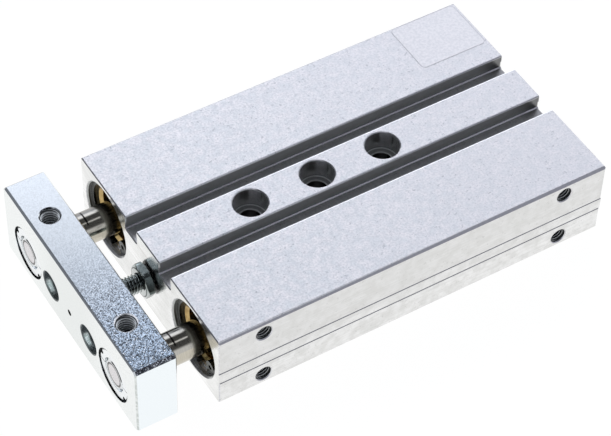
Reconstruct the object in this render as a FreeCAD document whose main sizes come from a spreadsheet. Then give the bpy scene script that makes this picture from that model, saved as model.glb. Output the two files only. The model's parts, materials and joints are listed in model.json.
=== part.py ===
import FreeCAD, Part
import os
import re
import PartDesign
import Sketcher

# Twin-piston pneumatic cylinder. +X is the way the yoke travels, +Z is up, and the
# origin is the centre of the housing's bottom face. Left is +Y, right is -Y.

# Driving dimensions in millimetres, angles in degrees.
SIZES = {
    # extruded housing
    "housing_length": 129.5,
    "housing_width": 80.0,
    "housing_height": 26.5,
    "long_edge_chamfer": 0.75,
    "end_edge_chamfer": 0.3,
    "slot_opening": 6.2,
    "slot_spacing": 19.6,
    "slot_lip": 2.3,
    "slot_lip_round": 0.5,
    "slot_depth": 5.2,
    "slot_undercut": 0.45,
    "slot_floor_chamfer": 0.35,
    "score_width": 0.5,
    "score_depth": 0.35,
    "lower_score_height": 8.8,
    "score_pitch": 4.2,
    # cylinder bores and their end seats
    "bore_diameter": 20.0,
    "bore_spacing": 51.0,
    "mouth_diameter": 23.4,
    "mouth_chamfer": 0.5,
    "front_seat_depth": 11.0,
    "rear_seat_diameter": 22.0,
    "rear_seat_depth": 9.0,
    # fastening holes and air ports
    "mount_hole_diameter": 6.6,
    "mount_sink_diameter": 10.5,
    "mount_sink_depth": 6.7,
    "mount_sink_chamfer": 0.3,
    "mount_first_inset": 33.4,
    "mount_pitch": 22.3,
    "mount_count": 3,
    "port_diameter": 5.0,
    "port_depth": 6.0,
    "port_inset": 14.3,
    "port_row_pitch": 18.0,
    "port_chamfer": 0.25,
    "passage_diameter": 3.0,
    # retaining rings
    "front_ring_inset": 1.5,
    "front_ring_thickness": 1.2,
    "rear_ring_inset": 1.4,
    "rear_ring_thickness": 1.0,
    "ring_groove_depth": 0.6,
    "ring_slack": 0.05,
    "ring_width": 1.8,
    "ring_gap": 6.0,
    "ring_lug_diameter": 4.2,
    "ring_lug_inset": 0.2,
    "ring_lug_hole": 1.6,
    "ring_turn": 12.0,
    # bearing caps with their bushes and seals
    "seat_clearance": 0.03,
    "running_clearance": 0.05,
    "rod_clearance": 0.4,
    "cap_cone_diameter": 19.0,
    "cap_cone_depth": 0.9,
    "cap_recess_diameter": 17.2,
    "cap_recess_depth": 4.5,
    "sleeve_diameter": 15.6,
    "wiper_diameter": 15.0,
    "wiper_length": 3.0,
    "seal_web": 1.0,
    "rod_seal_diameter": 13.0,
    "rod_seal_length": 3.0,
    "lip_depth": 0.9,
    "bush_diameter": 12.4,
    "o_ring_section": 1.8,
    "o_ring_room": 0.4,
    "cap_groove_inset": 3.2,
    "front_buffer_thickness": 2.5,
    # rear end caps
    "end_cap_spigot": 2.5,
    "end_cap_dish_diameter": 13.0,
    "end_cap_dish_depth": 1.2,
    "end_cap_groove_inset": 1.6,
    "rear_buffer_diameter": 12.0,
    "rear_buffer_thickness": 2.5,
    # pistons
    "stroke": 40.0,
    "stop_gap": 0.3,
    "piston_clearance": 0.3,
    "piston_rear_length": 11.0,
    "piston_front_length": 9.0,
    "magnet_length": 4.0,
    "magnet_clearance": 0.7,
    "magnet_bore": 11.0,
    "piston_land": 1.5,
    "piston_seal_width": 3.0,
    "piston_seal_depth": 2.4,
    "guide_ring_width": 3.4,
    "guide_ring_depth": 1.2,
    "nut_pocket_diameter": 13.0,
    "nut_pocket_depth": 5.6,
    "nut_flats": 10.0,
    "nut_thickness": 4.6,
    # piston rods
    "rod_diameter": 10.0,
    "rod_end_chamfer": 0.8,
    "rod_spigot_diameter": 6.0,
    "rod_mark_inset": 1.3,
    "rod_mark_width": 0.45,
    "rod_mark_depth": 0.4,
    # yoke plate with the rod clamping rings
    "yoke_gap": 12.4,
    "yoke_thickness": 12.8,
    "yoke_width": 78.2,
    "yoke_height": 26.2,
    "yoke_lift": 2.5,
    "yoke_end_chamfer": 1.0,
    "yoke_edge_chamfer": 0.4,
    "yoke_sink_diameter": 16.5,
    "yoke_sink_depth": 4.2,
    "yoke_hole_diameter": 9.0,
    "yoke_hole_spacing": 22.5,
    "yoke_hole_chamfer": 0.25,
    "load_hole_diameter": 6.0,
    "load_hole_spacing": 44.8,
    "load_hole_depth": 6.6,
    "load_hole_chamfer": 0.3,
    "centre_mark_diameter": 2.0,
    "centre_mark_depth": 1.0,
    "collar_diameter": 15.1,
    "collar_recess": 0.35,
    "collar_split": 0.25,
    "collar_front_clearance": 0.2,
    "collar_lip_inset": 1.2,
    "collar_lip_width": 1.9,
    "collar_lip_depth": 0.8,
    "collar_notch_diameter": 1.9,
    "snap_wire": 1.4,
    "snap_inset": 1.35,
    "snap_start": 319.0,
    "snap_sweep": 197.0,
    # stop screw
    "stop_shank_diameter": 5.9,
    "stop_hole_diameter": 6.05,
    "stop_hole_depth": 11.8,
    "stop_engagement": 7.7,
    "stop_head_flats": 10.0,
    "stop_head_thickness": 2.8,
    "stop_head_face": 9.5,
    "stop_head_bevel": 25.0,
    "stop_head_gap": 0.35,
}

doc = FreeCAD.newDocument("TwinPistonCylinder")
sheet = doc.addObject("Spreadsheet::Sheet", "Dims")
for row, (name, value) in enumerate(SIZES.items(), start=1):
    sheet.set(f"A{row}", name)
    sheet.set(f"B{row}", str(value))
    sheet.setAlias(f"B{row}", name)
doc.recompute()

SIDES = {"left": 1, "right": -1}
bodies = []

# Stations along X, each measured from the piece that sets it.
front_face = "housing_length / 2"
rear_face = "-housing_length / 2"
mid_height = "housing_height / 2"
front_groove = f"{front_face} - front_ring_inset"
cap_face = f"{front_groove} - front_ring_thickness - 2 * ring_slack"
front_seat = f"{front_face} - front_seat_depth"
rear_groove = f"{rear_face} + rear_ring_inset"
end_cap_face = f"{rear_groove} + rear_ring_thickness + 2 * ring_slack"
rear_seat = f"{rear_face} + rear_seat_depth"
end_cap_inner = f"{rear_seat} + end_cap_spigot"
piston_rear = f"{end_cap_inner} + rear_buffer_thickness + stop_gap"
magnet_rear = f"{piston_rear} + piston_rear_length"
magnet_front = f"{magnet_rear} + magnet_length"
piston_front = f"{magnet_front} + piston_front_length"
sleeve_end = f"{piston_front} + stroke + stop_gap + front_buffer_thickness"
yoke_rear = f"{front_face} + yoke_gap"
yoke_front = f"{yoke_rear} + yoke_thickness"


def formula(text):
    """Turn the size names in an expression into references to the sheet."""

    def refer(match):
        word = match.group(0)
        return f"Dims.{word}" if word in SIZES else word

    return re.sub(r"[a-z_]+", refer, text)


def bind(item, target, text):
    """Drive one property of a document object by an expression in size names."""
    item.setExpression(target, formula(text))


def new_body(label):
    """Start a piece. Its label names the node."""
    body = doc.addObject("PartDesign::Body", label)
    body.Label = label
    bodies.append(body)
    return body


def on_bore_axis(body, side):
    """Put a piece that is turned about its own X axis on a cylinder's centre line."""
    bind(body, "Placement.Base.y", f"{SIDES[side]} * bore_spacing / 2")
    bind(body, "Placement.Base.z", mid_height)


def origin_item(body, role):
    """Find an origin plane or axis of a piece by its role."""
    return next(item for item in body.Origin.OriginFeatures if item.Role == role)


def new_sketch(body, role, shift="0"):
    """Open a sketch on an origin plane, moved along the plane's normal."""
    sketch = body.newObject("Sketcher::SketchObject", "Sketch")
    sketch.AttachmentSupport = [(origin_item(body, role), "")]
    sketch.MapMode = "FlatFace"
    bind(sketch, "AttachmentOffset.Base.z", shift)
    return sketch


def fix(sketch, kind, *place, start, text):
    """Add one dimension to a sketch and drive it by an expression."""
    index = sketch.addConstraint(Sketcher.Constraint(kind, *place, start))
    bind(sketch, f"Constraints[{index}]", text)


def add_outline(sketch, corners):
    """Close a polygon. Each corner is a pair of expressions."""
    first = sketch.GeometryCount
    count = len(corners)
    turn = FreeCAD.Rotation(FreeCAD.Vector(0, 0, 1), 360 / count)
    spots = [FreeCAD.Vector(10, 0, 0)]
    for step in range(1, count):
        spots.append(turn.multVec(spots[-1]))
    for index in range(count):
        sketch.addGeometry(Part.LineSegment(spots[index], spots[(index + 1) % count]))
    for index in range(count):
        following = first + (index + 1) % count
        sketch.addConstraint(Sketcher.Constraint("Coincident", first + index, 2, following, 1))
    for index, (across, up) in enumerate(corners):
        fix(sketch, "DistanceX", first + index, 1, start=spots[index].x, text=across)
        fix(sketch, "DistanceY", first + index, 1, start=spots[index].y, text=up)


def add_rectangle(sketch, low, high):
    """Close a rectangle between two opposite corners."""
    add_outline(sketch, [low, (high[0], low[1]), high, (low[0], high[1])])


def add_circle(sketch, centre, diameter):
    """Draw a circle whose centre and diameter are expressions."""
    normal = FreeCAD.Vector(0, 0, 1)
    index = sketch.addGeometry(Part.Circle(FreeCAD.Vector(1, 1, 0), normal, 1))
    fix(sketch, "Diameter", index, start=2, text=diameter)
    fix(sketch, "DistanceX", index, 3, start=1, text=centre[0])
    fix(sketch, "DistanceY", index, 3, start=1, text=centre[1])


def add_hexagon(sketch, centre, flats):
    """Close a regular hexagon with two flats up and down."""
    across, up = centre
    corner = f"({flats}) / sqrt(3)"
    half = f"({flats}) / 2"
    add_outline(sketch, [
        (f"{across} + {corner}", up),
        (f"{across} + {corner} / 2", f"{up} + {half}"),
        (f"{across} - {corner} / 2", f"{up} + {half}"),
        (f"{across} - {corner}", up),
        (f"{across} - {corner} / 2", f"{up} - {half}"),
        (f"{across} + {corner} / 2", f"{up} - {half}"),
    ])


def pad(body, sketch, length):
    """Extrude a sketch along its normal."""
    feature = body.newObject("PartDesign::Pad", "Pad")
    feature.Profile = sketch
    bind(feature, "Length", length)
    doc.recompute()
    return feature


def pocket(body, sketch, depth=None, forward=False):
    """Cut a sketch against its normal, or along it, to a depth or right through."""
    feature = body.newObject("PartDesign::Pocket", "Pocket")
    feature.Profile = sketch
    feature.Reversed = forward
    if depth is None:
        feature.Type = "ThroughAll"
    else:
        bind(feature, "Length", depth)
    before = body.Shape.Volume
    doc.recompute()
    if body.Shape.Volume >= before:
        raise ValueError(f"{body.Label}: {feature.Name} cuts nothing")
    return feature


def spin(body, sketch, kind="PartDesign::Revolution", angle="360"):
    """Turn a sketch about its own horizontal axis, as added or removed material."""
    feature = body.newObject(kind, "Turned")
    feature.Profile = sketch
    feature.ReferenceAxis = (sketch, ["H_Axis"])
    bind(feature, "Angle", angle)
    doc.recompute()
    return feature


def edge_names(base, wanted):
    """Name the edges of a feature that pass a test of their shape."""
    numbered = enumerate(base.Shape.Edges, start=1)
    return [f"Edge{index}" for index, edge in numbered if wanted(edge)]


def chamfer(body, base, size, wanted):
    """Break the wanted edges of a feature with a flat."""
    feature = body.newObject("PartDesign::Chamfer", "Chamfer")
    feature.Base = (base, edge_names(base, wanted))
    bind(feature, "Size", size)
    doc.recompute()
    return feature


def rounding(body, base, radius, wanted):
    """Round the wanted edges of a feature."""
    feature = body.newObject("PartDesign::Fillet", "Round")
    feature.Base = (base, edge_names(base, wanted))
    bind(feature, "Radius", radius)
    doc.recompute()
    return feature


def is_circle(edge, diameter):
    """Tell whether an edge is a full circle of a given diameter."""
    curve = edge.Curve
    return isinstance(curve, Part.Circle) and abs(2 * curve.Radius - diameter) < 1e-6


def turned(label, side, corners):
    """A ring, sleeve or shaft turned from a half section of x and radius."""
    body = new_body(label)
    sketch = new_sketch(body, "XY_Plane")
    add_outline(sketch, corners)
    spin(body, sketch)
    on_bore_axis(body, side)
    return body


def o_ring(label, side, station, groove_floor):
    """A round-section ring that lies on the floor of a groove."""
    body = new_body(label)
    sketch = new_sketch(body, "XY_Plane")
    add_circle(sketch, (station, f"{groove_floor} + o_ring_section / 2"), "o_ring_section")
    spin(body, sketch)
    on_bore_axis(body, side)


def make_housing():
    """Extruded aluminium block with two bores, two sensor slots and its drilled holes."""
    body = new_body("housing")
    half_width = "housing_width / 2"
    top = "housing_height"
    edge = "long_edge_chamfer"
    section = new_sketch(body, "YZ_Plane", rear_face)

    def slot_corners(sign):
        """Section of one T-slot, from its outer lip to its inner lip."""
        middle = f"{sign} * slot_spacing / 2"
        outer_lip = f"{middle} + {sign} * slot_opening / 2"
        inner_lip = f"{middle} - {sign} * slot_opening / 2"
        outer_wall = f"{outer_lip} + {sign} * slot_undercut"
        inner_wall = f"{inner_lip} - {sign} * slot_undercut"
        floor_break = f"{sign} * slot_floor_chamfer"
        lip_under = f"{top} - slot_lip"
        floor = f"{top} - slot_depth"
        return [
            (outer_lip, top), (outer_lip, lip_under), (outer_wall, lip_under),
            (outer_wall, f"{floor} + slot_floor_chamfer"), (f"{outer_wall} - {floor_break}", floor),
            (f"{inner_wall} + {floor_break}", floor), (inner_wall, f"{floor} + slot_floor_chamfer"),
            (inner_wall, lip_under), (inner_lip, lip_under), (inner_lip, top),
        ]

    def side_corners(sign):
        """Section of one long side with its two score lines, from bottom to top."""
        face = f"{sign} * {half_width}"
        score_floor = f"{sign} * ({half_width} - score_depth)"
        corners = [(f"{sign} * ({half_width} - {edge})", "0"), (face, edge)]
        for line in ("lower_score_height", "lower_score_height + score_pitch"):
            corners.append((face, f"{line} - score_width / 2"))
            corners.append((score_floor, line))
            corners.append((face, f"{line} + score_width / 2"))
        corners.append((face, f"{top} - {edge}"))
        corners.append((f"{sign} * ({half_width} - {edge})", top))
        return corners

    left_half = side_corners(1) + slot_corners(1)
    right_half = side_corners(-1) + slot_corners(-1)
    add_outline(section, left_half + right_half[::-1])
    block = pad(body, section, "housing_length")

    def slot_lip(edge):
        middle = edge.CenterOfMass
        at_top = abs(middle.z - sheet.housing_height) < 1e-6
        along = abs(edge.Length - sheet.housing_length) < 1e-6
        return at_top and along and abs(middle.y) < sheet.slot_spacing

    rounding(body, block, "slot_lip_round", slot_lip)

    groove_radius = "mouth_diameter / 2 + ring_groove_depth"
    rear_groove_radius = "rear_seat_diameter / 2 + ring_groove_depth"
    groove_end = f"{front_groove} - front_ring_thickness - 2 * ring_slack"
    rear_groove_end = f"{rear_groove} + rear_ring_thickness + 2 * ring_slack"
    mouth = "mouth_diameter / 2"
    rear_mouth = "rear_seat_diameter / 2"
    for sign in SIDES.values():
        bore = new_sketch(body, "XY_Plane", mid_height)
        bind(bore, "AttachmentOffset.Base.y", f"{sign} * bore_spacing / 2")
        add_outline(bore, [
            (front_face, "0"), (front_face, f"{mouth} + mouth_chamfer"),
            (f"{front_face} - mouth_chamfer", mouth), (front_groove, mouth),
            (front_groove, groove_radius), (groove_end, groove_radius), (groove_end, mouth),
            (front_seat, mouth), (front_seat, "bore_diameter / 2"),
            (rear_seat, "bore_diameter / 2"), (rear_seat, rear_mouth),
            (rear_groove_end, rear_mouth), (rear_groove_end, rear_groove_radius),
            (rear_groove, rear_groove_radius), (rear_groove, rear_mouth),
            (rear_face, rear_mouth), (rear_face, "0"),
        ])
        spin(body, bore, "PartDesign::Groove")

    first_hole = (f"{front_face} - mount_first_inset", "0")
    through = new_sketch(body, "XY_Plane", top)
    add_circle(through, first_hole, "mount_hole_diameter")
    sink = new_sketch(body, "XY_Plane", top)
    add_circle(sink, first_hole, "mount_sink_diameter")
    drilled = [pocket(body, through), pocket(body, sink, "mount_sink_depth")]
    row = body.newObject("PartDesign::LinearPattern", "MountRow")
    row.Originals = drilled
    row.Direction = (origin_item(body, "X_Axis"), [""])
    row.Reversed = True
    bind(row, "Length", "mount_pitch * (mount_count - 1)")
    bind(row, "Occurrences", "mount_count")
    body.Tip = row
    doc.recompute()

    def sink_mouth(edge):
        at_top = abs(edge.CenterOfMass.z - sheet.housing_height) < 1e-6
        return at_top and is_circle(edge, sheet.mount_sink_diameter)

    chamfer(body, row, "mount_sink_chamfer", sink_mouth)

    # The port rows lie evenly above and below the bores' plane, near each end. The lower
    # passages cross the near bore and reach the far one, the upper ones end in the near bore.
    ports = new_sketch(body, "XZ_Plane", f"-({half_width})")
    cross_passages = new_sketch(body, "XZ_Plane", f"-({half_width})")
    near_passages = new_sketch(body, "XZ_Plane", f"-({half_width})")
    low_row = f"{mid_height} - port_row_pitch / 2"
    high_row = f"{mid_height} + port_row_pitch / 2"
    for station in (f"{front_face} - port_inset", f"{rear_face} + port_inset"):
        add_circle(ports, (station, low_row), "port_diameter")
        add_circle(ports, (station, high_row), "port_diameter")
        add_circle(cross_passages, (station, low_row), "passage_diameter")
        add_circle(near_passages, (station, high_row), "passage_diameter")
    pocket(body, cross_passages, f"{half_width} + bore_spacing / 2", forward=True)
    pocket(body, near_passages, f"{half_width} - bore_spacing / 2", forward=True)
    tapped = pocket(body, ports, "port_depth", forward=True)

    def port_mouth(edge):
        at_side = abs(edge.CenterOfMass.y - sheet.housing_width / 2) < 1e-6
        return at_side and is_circle(edge, sheet.port_diameter)

    countersunk = chamfer(body, tapped, "port_chamfer", port_mouth)

    def end_edge(edge):
        at_end = abs(abs(edge.CenterOfMass.x) - sheet.housing_length / 2) < 1e-6
        straight = isinstance(edge.Curve, Part.Line)
        return at_end and straight and edge.Length > sheet.slot_opening

    chamfer(body, countersunk, "end_edge_chamfer", end_edge)


def retaining_ring(label, side, station, thickness, seat):
    """Flat spring ring with two drilled lugs, sprung into a groove of a round seat."""
    body = new_body(label)
    outer = f"{seat} / 2 + ring_groove_depth - ring_slack"
    inner = f"{outer} - ring_width"
    lug_reach = f"({seat} / 2 - ring_lug_inset - ring_lug_diameter / 2)"
    lug_side = "(ring_gap + ring_lug_diameter) / 2"
    lug_up = f"-sqrt({lug_reach}^2 - ({lug_side})^2)"
    ring = new_sketch(body, "YZ_Plane", station)
    add_circle(ring, ("0", "0"), f"2 * ({outer})")
    add_circle(ring, ("0", "0"), f"2 * ({inner})")
    pad(body, ring, thickness)
    gap = new_sketch(body, "YZ_Plane", station)
    add_rectangle(gap, ("-ring_gap / 2", f"-({outer} + ring_width)"), ("ring_gap / 2", "0"))
    pocket(body, gap, thickness, forward=True)
    lugs = new_sketch(body, "YZ_Plane", station)
    holes = new_sketch(body, "YZ_Plane", station)
    for sign in (-1, 1):
        spot = (f"{sign} * {lug_side}", lug_up)
        add_circle(lugs, spot, "ring_lug_diameter")
        add_circle(holes, spot, "ring_lug_hole")
    pad(body, lugs, thickness)
    pocket(body, holes, thickness, forward=True)
    on_bore_axis(body, side)
    body.Placement.Rotation = FreeCAD.Rotation(FreeCAD.Vector(1, 0, 0), 1)
    bind(body, "Placement.Rotation.Angle", "ring_turn")


def make_front_end(side):
    """Bearing cap of one cylinder with its bush, seals, ring and end buffer."""
    rim = "mouth_diameter / 2 - seat_clearance"
    sleeve = "sleeve_diameter / 2"
    wiper = "wiper_diameter / 2"
    seal = "rod_seal_diameter / 2"
    bush = "bush_diameter / 2"
    rod_hole = "rod_diameter / 2 + rod_clearance"
    rod_fit = "rod_diameter / 2 + running_clearance"
    recess = "cap_recess_diameter / 2"
    wiper_front = f"{cap_face} - cap_recess_depth"
    wiper_rear = f"{wiper_front} - wiper_length"
    seal_front = f"{wiper_rear} - seal_web"
    seal_rear = f"{seal_front} - rod_seal_length"
    groove_front = f"{cap_face} - cap_groove_inset"
    groove_rear = f"{groove_front} - o_ring_section - o_ring_room"
    groove_floor = "mouth_diameter / 2 - o_ring_section"
    turned(f"bearing_cap_{side}", side, [
        (cap_face, "cap_cone_diameter / 2"), (cap_face, rim), (groove_front, rim),
        (groove_front, groove_floor), (groove_rear, groove_floor), (groove_rear, rim),
        (front_seat, rim), (front_seat, sleeve), (sleeve_end, sleeve), (sleeve_end, bush),
        (seal_rear, bush), (seal_rear, seal), (seal_front, seal), (seal_front, rod_hole),
        (wiper_rear, rod_hole), (wiper_rear, wiper), (wiper_front, wiper), (wiper_front, recess),
        (f"{cap_face} - cap_cone_depth", recess),
    ])
    turned(f"rod_bush_{side}", side, [
        (seal_rear, rod_fit), (seal_rear, f"{bush} - seat_clearance"),
        (sleeve_end, f"{bush} - seat_clearance"), (sleeve_end, rod_fit),
    ])
    turned(f"rod_wiper_{side}", side, [
        (f"{wiper_front} + lip_depth", rod_fit), (wiper_front, f"{rod_fit} + lip_depth"),
        (wiper_front, f"{wiper} - seat_clearance"), (wiper_rear, f"{wiper} - seat_clearance"),
        (wiper_rear, rod_fit),
    ])
    turned(f"rod_seal_{side}", side, [
        (seal_front, rod_fit), (seal_front, f"{seal} - seat_clearance"),
        (seal_rear, f"{seal} - seat_clearance"),
        (f"{seal_rear} + lip_depth", f"({seal} + rod_diameter / 2) / 2"), (seal_rear, rod_fit),
    ])
    o_ring(f"cap_o_ring_{side}", side, f"({groove_front} + {groove_rear}) / 2", groove_floor)
    turned(f"front_buffer_{side}", side, [
        (sleeve_end, rod_hole), (sleeve_end, sleeve),
        (f"{sleeve_end} - front_buffer_thickness", f"{sleeve} - lip_depth"),
        (f"{sleeve_end} - front_buffer_thickness", rod_hole),
    ])
    ring_station = f"{front_groove} - front_ring_thickness - ring_slack"
    retaining_ring(f"front_retaining_ring_{side}", side, ring_station,
                   "front_ring_thickness", "mouth_diameter")


def make_rear_end(side):
    """Rear end cap of one cylinder with its sealing ring, ring and end buffer."""
    rim = "rear_seat_diameter / 2 - seat_clearance"
    spigot = "bore_diameter / 2 - seat_clearance"
    dish = "end_cap_dish_diameter / 2"
    groove_rear = f"{end_cap_face} + end_cap_groove_inset"
    groove_front = f"{groove_rear} + o_ring_section + o_ring_room"
    groove_floor = "rear_seat_diameter / 2 - o_ring_section"
    turned(f"end_cap_{side}", side, [
        (f"{end_cap_face} + end_cap_dish_depth", "0"),
        (f"{end_cap_face} + end_cap_dish_depth", f"{dish} - end_cap_dish_depth"),
        (end_cap_face, dish), (end_cap_face, rim), (groove_rear, rim),
        (groove_rear, groove_floor), (groove_front, groove_floor), (groove_front, rim),
        (rear_seat, rim), (rear_seat, spigot), (end_cap_inner, spigot), (end_cap_inner, "0"),
    ])
    o_ring(f"end_cap_o_ring_{side}", side, f"({groove_front} + {groove_rear}) / 2", groove_floor)
    buffer_face = f"{end_cap_inner} + rear_buffer_thickness"
    turned(f"rear_buffer_{side}", side, [
        (end_cap_inner, "0"), (end_cap_inner, "rear_buffer_diameter / 2"),
        (buffer_face, "rear_buffer_diameter / 2 - lip_depth"), (buffer_face, "0"),
    ])
    retaining_ring(f"rear_retaining_ring_{side}", side, f"{rear_groove} + ring_slack",
                   "rear_ring_thickness", "rear_seat_diameter")


def make_piston(side):
    """Two-part magnetic piston of one cylinder, clamped on the rod's spigot by a nut."""
    rim = "bore_diameter / 2 - piston_clearance"
    spigot = "rod_spigot_diameter / 2 + seat_clearance"
    seal_floor = "bore_diameter / 2 - piston_seal_depth"
    guide_floor = "bore_diameter / 2 - guide_ring_depth"
    running = "bore_diameter / 2 - running_clearance"
    pocket_floor = f"{piston_rear} + nut_pocket_depth"
    boss = "magnet_bore / 2 - seat_clearance"
    front_seal = f"{piston_front} - piston_land - piston_seal_width"
    rear_seal = f"{piston_rear} + piston_land"
    guide = f"{rear_seal} + piston_seal_width + piston_land"
    turned(f"piston_rear_{side}", side, [
        (pocket_floor, spigot), (pocket_floor, "nut_pocket_diameter / 2"),
        (piston_rear, "nut_pocket_diameter / 2"), (piston_rear, rim), (rear_seal, rim),
        (rear_seal, seal_floor), (f"{rear_seal} + piston_seal_width", seal_floor),
        (f"{rear_seal} + piston_seal_width", rim), (guide, rim), (guide, guide_floor),
        (f"{guide} + guide_ring_width", guide_floor), (f"{guide} + guide_ring_width", rim),
        (magnet_rear, rim), (magnet_rear, spigot),
    ])
    turned(f"piston_front_{side}", side, [
        (magnet_rear, spigot), (magnet_rear, boss), (magnet_front, boss), (magnet_front, rim),
        (front_seal, rim), (front_seal, seal_floor),
        (f"{front_seal} + piston_seal_width", seal_floor),
        (f"{front_seal} + piston_seal_width", rim), (piston_front, rim), (piston_front, spigot),
    ])
    turned(f"piston_magnet_{side}", side, [
        (magnet_rear, "magnet_bore / 2"), (magnet_rear, f"{rim} - magnet_clearance"),
        (magnet_front, f"{rim} - magnet_clearance"), (magnet_front, "magnet_bore / 2"),
    ])
    guide_front = f"{guide} + guide_ring_width - ring_slack"
    turned(f"piston_guide_ring_{side}", side, [
        (f"{guide} + ring_slack", f"{guide_floor} + seat_clearance"),
        (f"{guide} + ring_slack", running), (guide_front, running),
        (guide_front, f"{guide_floor} + seat_clearance"),
    ])
    lips = {"rear": (rear_seal, 1), "front": (front_seal, -1)}
    for place, (station, sign) in lips.items():
        low = f"{station} + ring_slack"
        high = f"{station} + piston_seal_width - ring_slack"
        back, lip = (high, low) if sign > 0 else (low, high)
        turned(f"piston_seal_{place}_{side}", side, [
            (back, f"{seal_floor} + seat_clearance"), (back, f"{running} - lip_depth / 2"),
            (lip, running), (f"{lip} + {sign} * lip_depth", f"({seal_floor} + {running}) / 2"),
            (lip, f"{seal_floor} + seat_clearance"),
        ])
    nut = new_body(f"piston_nut_{side}")
    hexagon = new_sketch(nut, "YZ_Plane", f"{pocket_floor} - nut_thickness")
    add_hexagon(hexagon, ("0", "0"), "nut_flats")
    add_circle(hexagon, ("0", "0"), f"2 * ({spigot})")
    pad(nut, hexagon, "nut_thickness")
    on_bore_axis(nut, side)


def make_rod(side):
    """Polished rod from the nut behind the piston to the clamping ring in the yoke."""
    rod = "rod_diameter / 2"
    spigot = "rod_spigot_diameter / 2"
    spigot_end = f"{piston_rear} + nut_pocket_depth - nut_thickness - rod_end_chamfer"
    mark = f"{yoke_rear} - rod_mark_inset"
    rod_end = f"{yoke_front} - collar_recess"
    groove_front = f"{rod_end} - collar_lip_inset + ring_slack"
    groove_rear = f"{rod_end} - collar_lip_inset - collar_lip_width - ring_slack"
    turned(f"piston_rod_{side}", side, [
        (spigot_end, "0"), (spigot_end, spigot), (piston_front, spigot), (piston_front, rod),
        (f"{mark} - rod_mark_width", rod),
        (f"{mark} - rod_mark_width", f"{rod} - rod_mark_depth"), (mark, f"{rod} - rod_mark_depth"),
        (mark, rod), (groove_rear, rod), (groove_rear, f"{rod} - collar_lip_depth"),
        (groove_front, f"{rod} - collar_lip_depth"), (groove_front, rod),
        (f"{rod_end} - rod_end_chamfer", rod), (rod_end, f"{rod} - rod_end_chamfer"), (rod_end, "0"),
    ])


def make_rod_clamp(side):
    """Split collar in the rod's groove and the wire ring that keeps it in the yoke."""
    rod = "rod_diameter / 2"
    outer = "collar_diameter / 2"
    front = f"{yoke_front} - collar_recess"
    rear = f"{yoke_front} - yoke_sink_depth"
    lip_front = f"{front} - collar_lip_inset"
    lip_rear = f"{lip_front} - collar_lip_width"
    lip = f"{rod} - collar_lip_depth + seat_clearance"
    wire_front = f"{yoke_front} - snap_inset + snap_wire / 2"
    wire_rear = f"{yoke_front} - snap_inset - snap_wire / 2"
    wire_middle = "(collar_diameter + yoke_sink_diameter) / 4"
    wire_floor = f"{wire_middle} - snap_wire / 2"
    collar = new_body(f"rod_collar_{side}")
    collar.AllowCompound = True
    section = new_sketch(collar, "XY_Plane")
    add_outline(section, [
        (front, f"{rod} + collar_front_clearance"), (front, outer), (wire_front, outer),
        (wire_front, wire_floor), (wire_rear, wire_floor), (wire_rear, outer), (rear, outer),
        (rear, f"{rod} + seat_clearance"), (lip_rear, f"{rod} + seat_clearance"), (lip_rear, lip),
        (lip_front, lip), (lip_front, f"{rod} + collar_front_clearance"),
    ])
    spin(collar, section)
    notches = new_sketch(collar, "YZ_Plane", yoke_front)
    for angle in ("snap_start", "snap_start + snap_sweep"):
        turn = f"({angle}) * 1deg"
        add_circle(notches, (f"{outer} * cos({turn})", f"{outer} * sin({turn})"),
                   "collar_notch_diameter")
    pocket(collar, notches, "snap_inset")
    split = new_sketch(collar, "YZ_Plane", yoke_front)
    reach = f"({outer} + collar_split)"
    add_rectangle(split, (f"-{reach}", "-collar_split / 2"), (reach, "collar_split / 2"))
    pocket(collar, split)
    on_bore_axis(collar, side)

    ring = new_body(f"yoke_snap_ring_{side}")
    wire = new_sketch(ring, "XY_Plane")
    add_circle(wire, (f"{yoke_front} - snap_inset", wire_middle), "snap_wire - ring_slack")
    spin(ring, wire, angle="snap_sweep")
    on_bore_axis(ring, side)
    ring.Placement.Rotation = FreeCAD.Rotation(FreeCAD.Vector(1, 0, 0), 1)
    bind(ring, "Placement.Rotation.Angle", "snap_start")


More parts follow.
